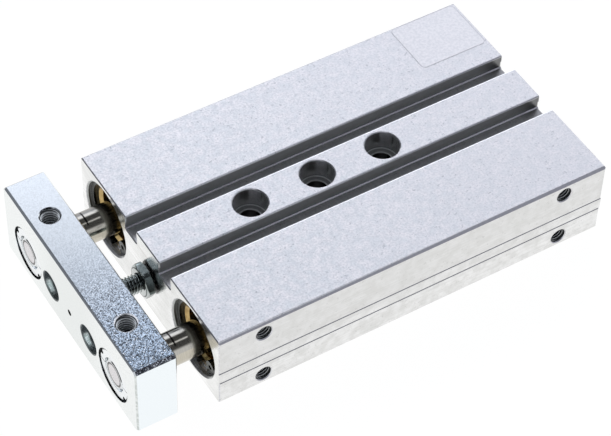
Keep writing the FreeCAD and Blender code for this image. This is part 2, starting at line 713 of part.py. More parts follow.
def make_yoke():
    """Steel plate that ties the two rods together and carries the load."""
    body = new_body("yoke_plate")
    top = "yoke_lift + yoke_height"
    plate = new_sketch(body, "YZ_Plane", yoke_rear)
    add_rectangle(plate, ("-yoke_width / 2", "yoke_lift"), ("yoke_width / 2", top))
    block = pad(body, plate, "yoke_thickness")

    def along_x(edge):
        return abs(edge.tangentAt(edge.FirstParameter).x) > 0.5

    ends = chamfer(body, block, "yoke_end_chamfer", along_x)

    def across_x(edge):
        return not along_x(edge)

    chamfer(body, ends, "yoke_edge_chamfer", across_x)

    rod_holes = new_sketch(body, "YZ_Plane", yoke_front)
    load_bores = new_sketch(body, "YZ_Plane", yoke_front)
    top_holes = new_sketch(body, "XY_Plane", top)
    middle = f"({yoke_rear}) + yoke_thickness / 2"
    for sign in SIDES.values():
        add_circle(rod_holes, (f"{sign} * bore_spacing / 2", mid_height),
                   "rod_diameter + 2 * seat_clearance")
        add_circle(load_bores, (f"{sign} * yoke_hole_spacing / 2", mid_height),
                   "yoke_hole_diameter")
        add_circle(top_holes, (middle, f"{sign} * load_hole_spacing / 2"), "load_hole_diameter")
    pocket(body, rod_holes)
    wire_radius = "(collar_diameter + yoke_sink_diameter) / 4 + snap_wire / 2"
    wire_front = f"{yoke_front} - snap_inset + snap_wire / 2"
    wire_rear = f"{yoke_front} - snap_inset - snap_wire / 2"
    sink_floor = f"{yoke_front} - yoke_sink_depth"
    sink = "yoke_sink_diameter / 2"
    for sign in SIDES.values():
        seat = new_sketch(body, "XY_Plane", mid_height)
        bind(seat, "AttachmentOffset.Base.y", f"{sign} * bore_spacing / 2")
        add_outline(seat, [
            (yoke_front, "0"), (yoke_front, sink), (wire_front, sink), (wire_front, wire_radius),
            (wire_rear, wire_radius), (wire_rear, sink), (sink_floor, sink), (sink_floor, "0"),
        ])
        spin(body, seat, "PartDesign::Groove")
    pocket(body, load_bores)
    pocket(body, top_holes, "load_hole_depth")
    stop_hole = new_sketch(body, "YZ_Plane", yoke_rear)
    add_circle(stop_hole, ("0", mid_height), "stop_hole_diameter")
    pocket(body, stop_hole, "stop_hole_depth", forward=True)
    mark = new_sketch(body, "YZ_Plane", yoke_front)
    add_circle(mark, ("0", mid_height), "centre_mark_diameter")
    marked = pocket(body, mark, "centre_mark_depth")

    def load_mouth(edge):
        at_top = abs(edge.CenterOfMass.z - sheet.yoke_lift - sheet.yoke_height) < 1e-6
        return at_top and is_circle(edge, sheet.load_hole_diameter)

    def bore_mouth(edge):
        return is_circle(edge, sheet.yoke_hole_diameter)

    sunk = chamfer(body, marked, "load_hole_chamfer", load_mouth)
    chamfer(body, sunk, "yoke_hole_chamfer", bore_mouth)


def make_stop_screw():
    """Hexagon screw in the yoke that meets the housing when the rods are in."""
    body = new_body("stop_screw")
    head_rear = f"{front_face} + stop_head_gap"
    head_front = f"{head_rear} + stop_head_thickness"
    head = new_sketch(body, "YZ_Plane", head_rear)
    add_hexagon(head, ("0", mid_height), "stop_head_flats")
    pad(body, head, "stop_head_thickness")
    shank = new_sketch(body, "YZ_Plane", head_front)
    add_circle(shank, ("0", mid_height), "stop_shank_diameter")
    pad(body, shank, "yoke_gap - stop_head_gap - stop_head_thickness + stop_engagement")
    rim = new_sketch(body, "XY_Plane", mid_height)
    inner = "stop_head_face / 2"
    outer = "stop_head_flats * 2 / 3"
    slope = f"({outer} - {inner}) * tan(stop_head_bevel * 1deg)"
    add_outline(rim, [(head_rear, inner), (head_rear, outer), (f"{head_rear} + {slope}", outer)])
    add_outline(rim, [(head_front, inner), (f"{head_front} - {slope}", outer), (head_front, outer)])
    spin(body, rim, "PartDesign::Groove")


make_housing()
for side in SIDES:
    make_front_end(side)
    make_rear_end(side)
    make_piston(side)
    make_rod(side)
    make_rod_clamp(side)
make_yoke()
make_stop_screw()
doc.recompute()

for item in doc.Objects:
    if "Invalid" in item.State or "Error" in item.State:
        raise ValueError(f"{item.Label} failed: {item.State}")
for body in bodies:
    if body.Shape.isNull() or not body.Shape.isValid():
        raise ValueError(f"{body.Label} has no valid shape")

os.makedirs("parts", exist_ok=True)
for body in bodies:
    body.Shape.exportStep(f"parts/{body.Label}.step")
    box = body.Shape.BoundBox
    print(f"{body.Label}: {len(body.Shape.Solids)} solids, {body.Shape.Volume:.1f} mm3, "
          f"x {box.XMin:.2f} to {box.XMax:.2f}")
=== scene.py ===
# %% [markdown]
# # Twin-piston air cylinder
# Two pistons push one steel yoke, so the yoke cannot turn. The machined solids are loaded as they are.
# This lesson gives every solid the surface that its making leaves on it, adds the screw threads and the
# blank film that are too fine for the solids, and photographs the part on a white table.

# %% Load the machined solids
import json
from types import SimpleNamespace
import bpy
import numpy as np
from mathutils import Matrix, Vector


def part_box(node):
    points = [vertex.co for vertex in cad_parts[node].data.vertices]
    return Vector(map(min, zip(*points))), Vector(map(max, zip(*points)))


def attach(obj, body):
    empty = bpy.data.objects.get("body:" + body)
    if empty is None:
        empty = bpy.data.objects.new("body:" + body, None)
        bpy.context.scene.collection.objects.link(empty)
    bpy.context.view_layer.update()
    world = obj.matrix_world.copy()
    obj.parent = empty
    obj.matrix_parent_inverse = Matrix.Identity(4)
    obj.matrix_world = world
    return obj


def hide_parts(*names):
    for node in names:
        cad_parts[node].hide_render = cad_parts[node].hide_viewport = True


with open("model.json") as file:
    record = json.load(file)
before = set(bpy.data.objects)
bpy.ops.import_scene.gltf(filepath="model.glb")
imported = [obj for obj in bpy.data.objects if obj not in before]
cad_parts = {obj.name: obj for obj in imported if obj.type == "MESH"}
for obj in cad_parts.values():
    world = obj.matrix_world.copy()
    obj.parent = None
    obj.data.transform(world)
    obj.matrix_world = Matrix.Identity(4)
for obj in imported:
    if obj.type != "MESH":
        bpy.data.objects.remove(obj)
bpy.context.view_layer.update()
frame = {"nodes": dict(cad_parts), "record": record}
scene = bpy.context.scene
scene.view_settings.view_transform = "Standard"

# %% [markdown]
# ## Measures
# Every place is worked out from the solids' own boxes and from the fastening points in the record, so
# nothing drifts when the part changes. Finishes read places in millimetres, so the measures are kept in
# millimetres too, and a mesh multiplies them by MM to get Blender's metres.

# %% Boxes of the main solids
MM = 0.001


def box_mm(node):
    """A solid's lowest and highest corners in millimetres."""
    low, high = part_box(node)
    return low / MM, high / MM


housing_low, housing_high = box_mm("housing")
yoke_low, yoke_high = box_mm("yoke_plate")
rod_low, rod_high = box_mm("piston_rod_left")
screw_low, screw_high = box_mm("stop_screw")
bore_side = (rod_low.y + rod_high.y) / 2
bore_height = (rod_low.z + rod_high.z) / 2
print("bores lie", bore_side, "mm each side and", bore_height, "mm up")

# %% Fastening points and slots
mounts = {mount["name"]: mount for mount in frame["record"]["mounts"]}
openings = {opening["name"]: opening for opening in frame["record"]["physics"]["openings"]}


def size_of(mount, size):
    """One size of a fastening pattern in millimetres."""
    return mounts[mount]["dims"][size]


hole_row_middle = mounts["mounting_holes_outer"]["pos_m"][0] / MM
hole_pitch = size_of("mounting_holes_front", "spacing_x_mm")
drill_radius = size_of("mounting_holes_front", "hole_r_mm")
front_hole_side = size_of("load_holes_front", "spacing_x_mm") / 2
front_hole_radius = size_of("load_holes_front", "hole_r_mm")
load_hole_middle = Vector(mounts["load_holes_top"]["pos_m"]) / MM
load_hole_side = size_of("load_holes_top", "spacing_y_mm") / 2
load_hole_radius = size_of("load_holes_top", "hole_r_mm")
port_middle = Vector(mounts["air_ports"]["pos_m"]) / MM
port_along = size_of("air_ports", "spacing_x_mm") / 2
port_rise = size_of("air_ports", "spacing_y_mm") / 2
port_radius = size_of("air_ports", "hole_r_mm")

# The record's box of a slot is this much smaller than the slot on each side.
slot_room = 0.2
slot_low, slot_high = (Vector(corner) / MM for corner in openings["sensor_slot_left"]["box_m"])
slot_inner = slot_low.y - slot_room
slot_outer = slot_high.y + slot_room
slot_floor = slot_low.z - slot_room
print("slots run from", round(slot_inner, 2), "to", round(slot_outer, 2), "mm from the middle")

# %% [markdown]
# ## Camera
# The picture is taken from well above the yoke's near corner with a long lens, which keeps the edges
# almost parallel. A camera can be aimed with a Track To constraint; here the three axes of its frame are
# written out, because they also fix the small roll of the picture.

# %% Camera
camera_place = Vector((259.2, 381.1, 522.7)) * MM
look = Vector((-0.35991, -0.55596, -0.74925)).normalized()
across = look.cross(Vector((-0.37745, -0.64764, 0.66188))).normalized()
upward = across.cross(look)

lens = bpy.data.cameras.new("portrait_lens")
lens.lens = 137.9
lens.sensor_width = 36.0
lens.clip_start = 0.01
lens.clip_end = 50.0
camera = bpy.data.objects.new("portrait_camera", lens)
axes = Matrix((across, upward, -look)).transposed().to_4x4()
camera.matrix_world = Matrix.Translation(camera_place) @ axes
scene.collection.objects.link(camera)
scene.camera = camera
print("camera stands", round(camera_place.length, 3), "m from the part")

# %% [markdown]
# ## Wiring helpers
# A finish is a small tree of nodes. Placing nodes one by one takes three lines each, so one helper adds a
# node, sets its fields and joins its inputs. An input is a number, a colour or another node's output. The
# other helpers name the few steps that every finish is made of.

# %% Nodes and arithmetic
def put(tree, kind, inputs=None, **fields):
    """Add one node. Inputs go by name or number; a socket is joined, anything else is set, and a colour
    gets full opacity."""
    made = tree.nodes.new(kind)
    for field, value in fields.items():
        setattr(made, field, value)
    for key, value in (inputs or {}).items():
        socket = made.inputs[key]
        if isinstance(value, bpy.types.NodeSocket):
            tree.links.new(value, socket)
        elif socket.type == "RGBA":
            socket.default_value = (*value, 1.0)
        else:
            socket.default_value = value
    return made


def work_out(tree, operation, *values):
    """One step of arithmetic on values that change over the surface."""
    return put(tree, "ShaderNodeMath", dict(enumerate(values)), operation=operation).outputs[0]


def minus(tree, first, second):
    """The first value less the second."""
    return work_out(tree, "SUBTRACT", first, second)


def absolute(tree, value):
    """The size of a value, which folds mirror twins onto each other."""
    return work_out(tree, "ABSOLUTE", value)


print("made: put, work_out, minus, absolute")

# %% Vectors
def vector_step(tree, operation, *vectors):
    """One step of arithmetic on vectors; lengths and dot products give a number."""
    made = put(tree, "ShaderNodeVectorMath", dict(enumerate(vectors)), operation=operation)
    return made.outputs["Value" if operation in ("LENGTH", "DOT_PRODUCT") else "Vector"]


def scaled(tree, vector, factor):
    """A vector times a factor that may change over the surface."""
    return put(tree, "ShaderNodeVectorMath", {0: vector, "Scale": factor}, operation="SCALE").outputs[0]


def axes_of(tree, vector):
    """The three parts of a vector, by the names X, Y and Z."""
    return put(tree, "ShaderNodeSeparateXYZ", {0: vector}).outputs


def distance(tree, first, second):
    """The distance from an axis, out of the two offsets across it."""
    pair = put(tree, "ShaderNodeCombineXYZ", {0: first, 1: second}).outputs[0]
    return vector_step(tree, "LENGTH", pair)


print("made: vector_step, scaled, axes_of, distance")

# %% Masks and colours
def stretch(tree, value, low, high, new_low=0.0, new_high=1.0):
    """Move the range low to high onto a new range, with soft ends."""
    limits = {"Value": value, "From Min": low, "From Max": high, "To Min": new_low, "To Max": new_high}
    return put(tree, "ShaderNodeMapRange", limits, interpolation_type="SMOOTHSTEP").outputs["Result"]


def fade(tree, value, low, high, strength=1.0):
    """A mask that holds where a value is under low and is gone where it is over high."""
    return stretch(tree, value, low, high, strength, 0.0)


def near(tree, value, middle, half, soft, strength=1.0):
    """A line of a given half width and soft edges where a value passes a middle."""
    return fade(tree, absolute(tree, minus(tree, value, middle)), half, half + soft, strength)


def both(tree, *masks):
    """Where all masks hold: their product."""
    product = masks[0]
    for mask in masks[1:]:
        product = work_out(tree, "MULTIPLY", product, mask)
    return product


def either(tree, first, second):
    """Where one mask or the other holds: the larger of the two."""
    return work_out(tree, "MAXIMUM", first, second)


def blend(tree, mask, first, second):
    """Go from one value to another as a mask goes from 0 to 1."""
    return put(tree, "ShaderNodeMix", {0: mask, 2: first, 3: second}, data_type="FLOAT").outputs[0]


def tint(tree, mask, first, second, share=1.0):
    """Go from the first colour towards the second as a mask goes from 0 to 1, by no more than a share."""
    if share < 1.0:
        mask = work_out(tree, "MULTIPLY", mask, share)
    return put(tree, "ShaderNodeMix", {0: mask, 6: first, 7: second}, data_type="RGBA").outputs[2]


WHITE = (1.0, 1.0, 1.0)
print("made: stretch, fade, near, both, either, blend, tint")

# %% Node groups
FLOAT, VECTOR = "NodeSocketFloat", "NodeSocketVector"


def start_group(name, inputs, outputs):
    """Open a node group whose inputs have defaults and whose outputs have socket kinds."""
    tree = bpy.data.node_groups.new(name, "ShaderNodeTree")
    for label, default in inputs.items():
        kind = FLOAT if isinstance(default, float) else VECTOR
        tree.interface.new_socket(label, in_out="INPUT", socket_type=kind).default_value = default
    for label, kind in outputs.items():
        tree.interface.new_socket(label, in_out="OUTPUT", socket_type=kind)
    return tree, tree.nodes.new("NodeGroupInput").outputs, tree.nodes.new("NodeGroupOutput").inputs


def effect(tree, group, **inputs):
    """Place a shared effect in a finish with values of its own."""
    named = {label.title(): value for label, value in inputs.items()}
    return put(tree, "ShaderNodeGroup", named, node_tree=group).outputs


def pattern(tree, group, place, **inputs):
    """The mask of a shared effect at a place in millimetres."""
    return effect(tree, group, place=place, **inputs)["Mask"]


print("made: start_group, effect, pattern")

# %% [markdown]
# ## Shared effects
# Machined metal is never one colour. Five patterns return on most finishes: soft clouds left by etching,
# small specks, lines drawn along a direction, rings left by the lathe, and the spangle of zinc crystals.
# They could be wired anew in each material. As node groups that read the place in millimetres, each is
# built once and keeps its real size on every piece.

# %% Clouds and specks
ORIGIN = (0.0, 0.0, 0.0)
# Most of a noise's values lie between these two.
NOISE_LOW, NOISE_HIGH = 0.3, 0.7


def counted_in(tree, place, size):
    """The place in units of a pattern's size, for a texture of scale 1."""
    return scaled(tree, place, work_out(tree, "DIVIDE", 1.0, size))


def noise(tree, place, detail):
    """Smooth noise with features about one unit apart."""
    return put(tree, "ShaderNodeTexNoise", {"Vector": place, "Scale": 1.0, "Detail": detail}).outputs["Fac"]


clouds, given, result = start_group("soft_clouds", {"Place": ORIGIN, "Size": 5.0}, {"Mask": FLOAT})
drift = noise(clouds, counted_in(clouds, given["Place"], given["Size"]), 3.0)
clouds.links.new(stretch(clouds, drift, NOISE_LOW, NOISE_HIGH), result["Mask"])

specks, given, result = start_group(
    "small_specks", {"Place": ORIGIN, "Size": 0.5, "Share": 0.3}, {"Mask": FLOAT})
scatter = noise(specks, counted_in(specks, given["Place"], given["Size"]), 2.0)
threshold = minus(specks, 1.0, given["Share"])
specks.links.new(stretch(specks, minus(specks, scatter, threshold), 0.0, 0.08), result["Mask"])
print("effects:", clouds.name, specks.name)

# %% Drawn lines and turning rings
drawn, given, result = start_group(
    "drawn_lines", {"Place": ORIGIN, "Density": (0.02, 2.0, 2.0)}, {"Mask": FLOAT})
squeezed = vector_step(drawn, "MULTIPLY", given["Place"], given["Density"])
drawn.links.new(stretch(drawn, noise(drawn, squeezed, 4.0), NOISE_LOW, NOISE_HIGH), result["Mask"])

rings, given, result = start_group(
    "turning_rings", {"Place": ORIGIN, "Pitch": 0.3}, {"Mask": FLOAT, "Radius": FLOAT})
spot = axes_of(rings, given["Place"])
off_side = minus(rings, absolute(rings, spot["Y"]), bore_side)
off_height = minus(rings, spot["Z"], bore_height)
radius = distance(rings, off_side, off_height)
feed = work_out(rings, "DIVIDE", work_out(rings, "ADD", spot["X"], radius), given["Pitch"])
chatter = put(rings, "ShaderNodeTexNoise", {"W": feed, "Scale": 1.0, "Detail": 2.0}, noise_dimensions="1D")
rings.links.new(stretch(rings, chatter.outputs["Fac"], NOISE_LOW, NOISE_HIGH), result["Mask"])
rings.links.new(radius, result["Radius"])
print("effects:", drawn.name, rings.name)

# %% Spangle
spangle, given, result = start_group(
    "zinc_spangle", {"Place": ORIGIN, "Size": 0.6, "Tilt": 0.2}, {"Normal": VECTOR, "Tone": FLOAT})
in_crystals = counted_in(spangle, given["Place"], given["Size"])
draw = put(spangle, "ShaderNodeTexVoronoi", {"Vector": in_crystals, "Scale": 1.0}).outputs["Color"]
lean = scaled(spangle, vector_step(spangle, "SUBTRACT", draw, (0.5, 0.5, 0.5)), given["Tilt"])
face = put(spangle, "ShaderNodeNewGeometry").outputs["Normal"]
leaned = vector_step(spangle, "NORMALIZE", vector_step(spangle, "ADD", face, lean))
spangle.links.new(leaned, result["Normal"])
spangle.links.new(axes_of(spangle, draw)["X"], result["Tone"])
print("effects:", spangle.name)

# %% [markdown]
# One piece often has several surfaces, because each face was cut in its own way. A sixth group therefore
# tells which way a face looks: along an axis, or out of one of the narrow bevels under a top.

# %% Ways that a face looks
faces, given, result = start_group("face_ways", {"Normal": ORIGIN}, {
    "X": FLOAT, "Y": FLOAT, "Z": FLOAT, "Upper Front": FLOAT, "Upper Side": FLOAT})
parts = axes_of(faces, given["Normal"])
for axis in "XYZ":
    straight = stretch(faces, absolute(faces, parts[axis]), 0.85, 0.95)
    faces.links.new(straight, result[axis])
outward_ways = {"Upper Front": parts["X"], "Upper Side": absolute(faces, parts["Y"])}
for label, outward in outward_ways.items():
    bevel = work_out(faces, "MINIMUM", outward, parts["Z"])
    faces.links.new(stretch(faces, bevel, 0.45, 0.6), result[label])
print("effects:", faces.name)

# %% [markdown]
# ## Studio
# The part stands on a white table under a soft dome. The new meshes of this lesson are grids of points that
# are computed as whole arrays, and one function turns any such grid into a mesh. The table could be one big
# plane; here it is a round slab from the same function. Its paper shows white to the camera and in
# reflections, and keeps a little of the part's shadow.

# %% Grids
def grid_mesh(name, points, wrap_rows=False, wrap_columns=False, caps=False):
    """Quads between neighbouring points of a grid, with flat caps on its end rows if asked. Where their
    signed volume is negative they look inwards, and all are turned round."""
    rows, columns = points.shape[:2]
    index = np.arange(rows * columns).reshape(rows, columns)
    if wrap_rows:
        index = np.vstack([index, index[:1]])
    if wrap_columns:
        index = np.hstack([index, index[:, :1]])
    corners = [index[:-1, :-1], index[1:, :-1], index[1:, 1:], index[:-1, 1:]]
    quads = np.stack(corners, axis=-1).reshape(-1, 4)
    spots = points.reshape(-1, 3)
    a, b, c, d = (spots[quads[:, corner]] - spots.mean(axis=0) for corner in range(4))
    volume = np.sum(a * np.cross(b, c)) + np.sum(a * np.cross(c, d))
    outline = quads.tolist()
    if caps:
        outline.append(index[0, :columns].tolist())
        outline.append(index[rows - 1, columns - 1::-1].tolist())
    if volume < 0:
        outline = [corner_row[::-1] for corner_row in outline]
    mesh = bpy.data.meshes.new(name)
    mesh.from_pydata(spots.tolist(), [], outline)
    mesh.update()
    made = bpy.data.objects.new(name, mesh)
    scene.collection.objects.link(made)
    sides = np.ptp(spots, axis=0) / MM
    print("mesh:", name, "with", len(outline), "faces,", sides.round(2), "mm")
    return made


def full_turn(count):
    """Angles of a whole turn, without the last one that would repeat the first."""
    return np.linspace(0, 2 * np.pi, count, endpoint=False)


print("a full turn in 4 steps:", full_turn(4).round(3))

# %% White table
table_reach = 4.0
table_faces = np.array([-0.05, -10.0]) * MM
shadow_share = 0.06
height, around = np.meshgrid(table_faces, full_turn(96), indexing="ij")
slab = np.stack([table_reach * np.cos(around), table_reach * np.sin(around), height], axis=-1)
table = grid_mesh("white_table", slab, wrap_columns=True, caps=True)

paper = bpy.data.materials.new("white_paper")
paper.use_nodes = True
tree = paper.node_tree
tree.nodes.clear()
path = put(tree, "ShaderNodeLightPath").outputs
seen = either(tree, path["Is Camera Ray"], path["Is Glossy Ray"])
seen = either(tree, seen, path["Is Transmission Ray"])
share = work_out(tree, "MULTIPLY", seen, 1.0 - shadow_share)
matte = put(tree, "ShaderNodeBsdfDiffuse", {"Color": (0.92, 0.92, 0.92)})
white = put(tree, "ShaderNodeEmission", {"Color": WHITE, "Strength": 1.04})
mixed = put(tree, "ShaderNodeMixShader", {0: share, 1: matte.outputs[0], 2: white.outputs[0]})
put(tree, "ShaderNodeOutputMaterial", {"Surface": mixed.outputs[0]})
table.data.materials.append(paper)
print("table reaches", table_reach, "m")

# %% [markdown]
# Bare metal shows what stands around it, so the light is shaped like a studio: a broad bright wall behind
# the part that ends about halfway up, a dim ceiling and camera side, and one small lamp overhead. Area
# lamps could do this; a world that reads the direction of a ray does it with a few masks. The matte tops
# pick up the bright wall, and the slots, bores and rods pick up the dim side.

# %% Soft dome
back_way = (-0.39, -0.92, 0.0)
lamp_way = (-0.36, 0.12, 0.925)
room_level, wall_level, lamp_level = 0.085, 1.98, 1.3
light_colour = (0.875, 0.91, 1.0)

dome = bpy.data.worlds.new("studio_dome")
scene.world = dome
dome.use_nodes = True
tree = dome.node_tree
tree.nodes.clear()
way = put(tree, "ShaderNodeTexCoord").outputs["Generated"]
ways = axes_of(tree, way)
rise = ways["Z"]
behind = stretch(tree, vector_step(tree, "DOT_PRODUCT", way, back_way), 0.28, 0.55)
climb = stretch(tree, rise, 0.30, 0.62, 0.20, wall_level)
wall = both(tree, behind, fade(tree, rise, 0.70, 0.83), climb)
camera_side = stretch(tree, ways["Y"], 0.30, 0.70)
horizon = blend(tree, camera_side, fade(tree, rise, 0.48, 0.75, 0.92), fade(tree, rise, 0.42, 0.68, 0.88))
lamp = stretch(tree, vector_step(tree, "DOT_PRODUCT", way, lamp_way), 0.992, 0.998, 0.0, lamp_level)
level = room_level
for light in (lamp, horizon, wall):
    level = work_out(tree, "ADD", light, level)
sky = put(tree, "ShaderNodeBackground", {"Color": scaled(tree, light_colour, level), "Strength": 1.0})
put(tree, "ShaderNodeOutputWorld", {"Surface": sky.outputs[0]})
print("dome: bright wall towards", back_way)

# %% [markdown]
# ## Finishes
# One function makes one finish. Each starts from a Principled shader and reads Object coordinates, so a
# pattern stays on the piece when the piece moves.

# %% Start of a finish
finishes = {}


def new_finish(name, metallic=1.0, roughness=0.3):
    """A material with its Principled shader, the place in millimetres and the way the surface faces."""
    material = bpy.data.materials.new(name)
    material.use_nodes = True
    tree = material.node_tree
    tree.nodes.clear()
    shader = put(tree, "ShaderNodeBsdfPrincipled", {"Metallic": metallic, "Roughness": roughness})
    put(tree, "ShaderNodeOutputMaterial", {"Surface": shader.outputs[0]})
    spots = put(tree, "ShaderNodeTexCoord").outputs
    place = scaled(tree, spots["Object"], 1 / MM)
    return SimpleNamespace(
        name=name, material=material, tree=tree, shader=shader, place=place, normal=spots["Normal"])


def wire(finish, **inputs):
    """Join values to the shader's inputs, such as base_color or roughness."""
    for label, value in inputs.items():
        finish.tree.links.new(value, finish.shader.inputs[label.replace("_", " ").title()])


def relief(finish, height, depth):
    """Raise the surface by a height mask, with its depth in millimetres."""
    bump = put(finish.tree, "ShaderNodeBump", {"Height": height, "Distance": depth * MM})
    wire(finish, normal=bump.outputs[0])


def keep(finish):
    """Store a finish under its name and tell how many nodes it took."""
    finishes[finish.name] = finish.material
    print("finish:", finish.name, "with", len(finish.tree.nodes), "nodes")


print("finishes so far:", len(finishes))

# %% [markdown]
# ## Anodised housing
# The housing is one extrusion with three surfaces. The top keeps the cloudy, matte skin of etching and
# anodising, with small dents. The long sides are smoother and show the lines of the extrusion die. The sawn
# ends are milled bright. Each could be a material of its own on its own faces; one material that picks the
# surface by the way a face looks needs no face to be selected by hand.

# %% Surfaces of the housing
blotch_size, dent_size, speck_share = 2.6, 0.9, 0.36


def etched_skin(tree, place, along, blotch, dents):
    """Cloudy matte aluminium, darker to the rear, with dots and dents. Gives its tone and roughness."""
    mottle = pattern(tree, clouds, place, size=0.6)
    dots = pattern(tree, specks, place, size=0.8, share=speck_share)
    rear = fade(tree, along, housing_low.x, housing_high.x, 0.55)
    tone = tint(tree, blotch, (0.755, 0.77, 0.785), (0.88, 0.855, 0.86))
    tone = tint(tree, rear, tone, (0.66, 0.64, 0.655))
    tone = tint(tree, mottle, tone, (0.62, 0.625, 0.645), share=0.65)
    tone = tint(tree, dots, tone, (0.42, 0.43, 0.46), share=0.35)
    tone = tint(tree, dents, tone, (0.38, 0.385, 0.41), share=0.5)
    return tone, stretch(tree, mottle, 0.0, 1.0, 0.46, 0.54)


def drawn_side(tree, place, height, blotch, dents):
    """Smooth aluminium from the die with long lines, painted brighter low down as a painted reflection.
    Gives its tone and lines.
    """
    lines = pattern(tree, drawn, place, density=(0.03, 2.5, 2.5))
    # Painted reflection: the side is painted brighter low down, where it mirrors the white table.
    upper_half = stretch(tree, height, 7.0, 15.0)
    tone = tint(tree, upper_half, (0.90, 0.90, 0.895), (0.80, 0.80, 0.795))
    tone = tint(tree, lines, tone, (0.62, 0.62, 0.615), share=0.4)
    tone = tint(tree, blotch, tone, (0.66, 0.66, 0.645), share=0.65)
    tone = tint(tree, dents, tone, (0.48, 0.48, 0.47), share=0.35)
    return tone, lines


def milled_end(tree, place):
    """Bright aluminium from the face mill, with large smears. Gives its tone and strokes."""
    strokes = pattern(tree, drawn, place, density=(2.0, 0.12, 0.9))
    smear = pattern(tree, clouds, place, size=9.0)
    tone = tint(tree, strokes, (0.84, 0.845, 0.83), (0.95, 0.95, 0.945))
    return tint(tree, smear, tone, (0.70, 0.705, 0.69), share=0.7), strokes


print("housing: clouds of", blotch_size, "mm, dents of", dent_size, "mm")

# %% [markdown]
# Slots, holes and bores get little light, so shade is painted into them and they are darker than the skin.
# On their edges thin bright lines are painted as highlights where the bevels catch light. The bevels could
# be cut into the solid, but they are only tenths of a millimetre wide, so masks paint the lines: each is a
# distance from an axis or a plane.

# %% Regions of the housing
housing_top, housing_end = housing_high.z, housing_high.x
strip_half = slot_outer + 1.3
mouth_radius = 11.7
sink_radius, sink_floor = 5.25, 19.8


def housing_regions(tree, place, where):
    """Masks and distances from planes and axes. The row of holes repeats, so its axis wraps at a pitch."""
    off_middle = absolute(tree, where["X"])
    along_row = minus(tree, where["X"], hole_row_middle)
    off_hole = work_out(tree, "WRAP", along_row, hole_pitch / 2, -hole_pitch / 2)
    from_hole = distance(tree, off_hole, where["Y"])
    in_hole = fade(tree, from_hole, sink_radius + 0.15, sink_radius + 0.35)
    in_strip = fade(tree, absolute(tree, where["Y"]), strip_half, strip_half + 0.2)
    below_top = fade(tree, where["Z"], housing_top - 0.6, housing_top - 0.1)
    # Painted highlight: a line on the bevel of each slot's floor, which is also made glossier.
    cutter = near(tree, where["Z"], slot_floor + 0.18, 0.15, 0.04)
    return SimpleNamespace(
        from_hole=from_hole, in_hole=in_hole, in_strip=in_strip,
        from_bore=effect(tree, rings, place=place)["Radius"],
        in_cut=both(tree, in_strip, below_top, stretch(tree, where["Z"], 1.0, 2.0)),
        inside=fade(tree, off_middle, housing_end - 0.45, housing_end - 0.05),
        at_mouth=stretch(tree, off_middle, housing_end - 0.65, housing_end - 0.55),
        floor_bevel_highlight=both(tree, cutter, in_strip, fade(tree, in_hole, 0.0, 1.0)))


print("slots' strip:", round(2 * strip_half, 1), "mm, mouths:", 2 * mouth_radius, "mm")

# %% Shade in the cuts
def shade_cuts(tree, tone, place, where, ways, at):
    """Painted shade in slots, holes and bores, darkest in the drilled holes and at the rear of the slots,
    with a painted highlight on the bevel of each mouth."""
    torn = pattern(tree, drawn, place, density=(2.2, 2.2, 0.04))
    # Painted shade: the walls, floors and bores of the cuts get a darker colour.
    wall = blend(tree, at.in_hole, 0.78, stretch(tree, torn, 0.0, 1.0, 0.18, 0.30))
    shade = blend(tree, ways["Z"], wall, 0.06)
    shade = either(tree, shade, fade(tree, where["Z"], sink_floor + 0.4, sink_floor + 1.0, 0.85))
    in_bore = fade(tree, at.from_bore, mouth_radius + 0.3, mouth_radius + 0.7, 0.75)
    recess = both(tree, either(tree, both(tree, at.in_cut, shade), in_bore), at.inside)
    tone = tint(tree, recess, tone, (0.30, 0.305, 0.30))
    # Painted highlight: a light line on the bevel of each bore's mouth.
    mouth_highlight = both(tree, near(tree, at.from_bore, mouth_radius + 0.12, 0.12, 0.06), at.at_mouth)
    tone = tint(tree, mouth_highlight, tone, (0.52, 0.54, 0.52))
    # Painted shade at the rear of the slots.
    at_rear = fade(tree, where["X"], housing_low.x + 0.25, housing_low.x + 7.75, 0.8)
    tone = tint(tree, both(tree, at.in_cut, at_rear, at.inside), tone, (0.10, 0.10, 0.105))
    # Painted shade in the drilled holes below the counterbores.
    in_drill = fade(tree, at.from_hole, drill_radius + 0.05, drill_radius + 0.15)
    under_sink = fade(tree, where["Z"], sink_floor - 0.3, sink_floor - 0.1, 0.95)
    return tint(tree, both(tree, in_drill, under_sink), tone, (0.09, 0.09, 0.095))


print("counterbores:", 2 * sink_radius, "mm, down to", sink_floor, "mm")

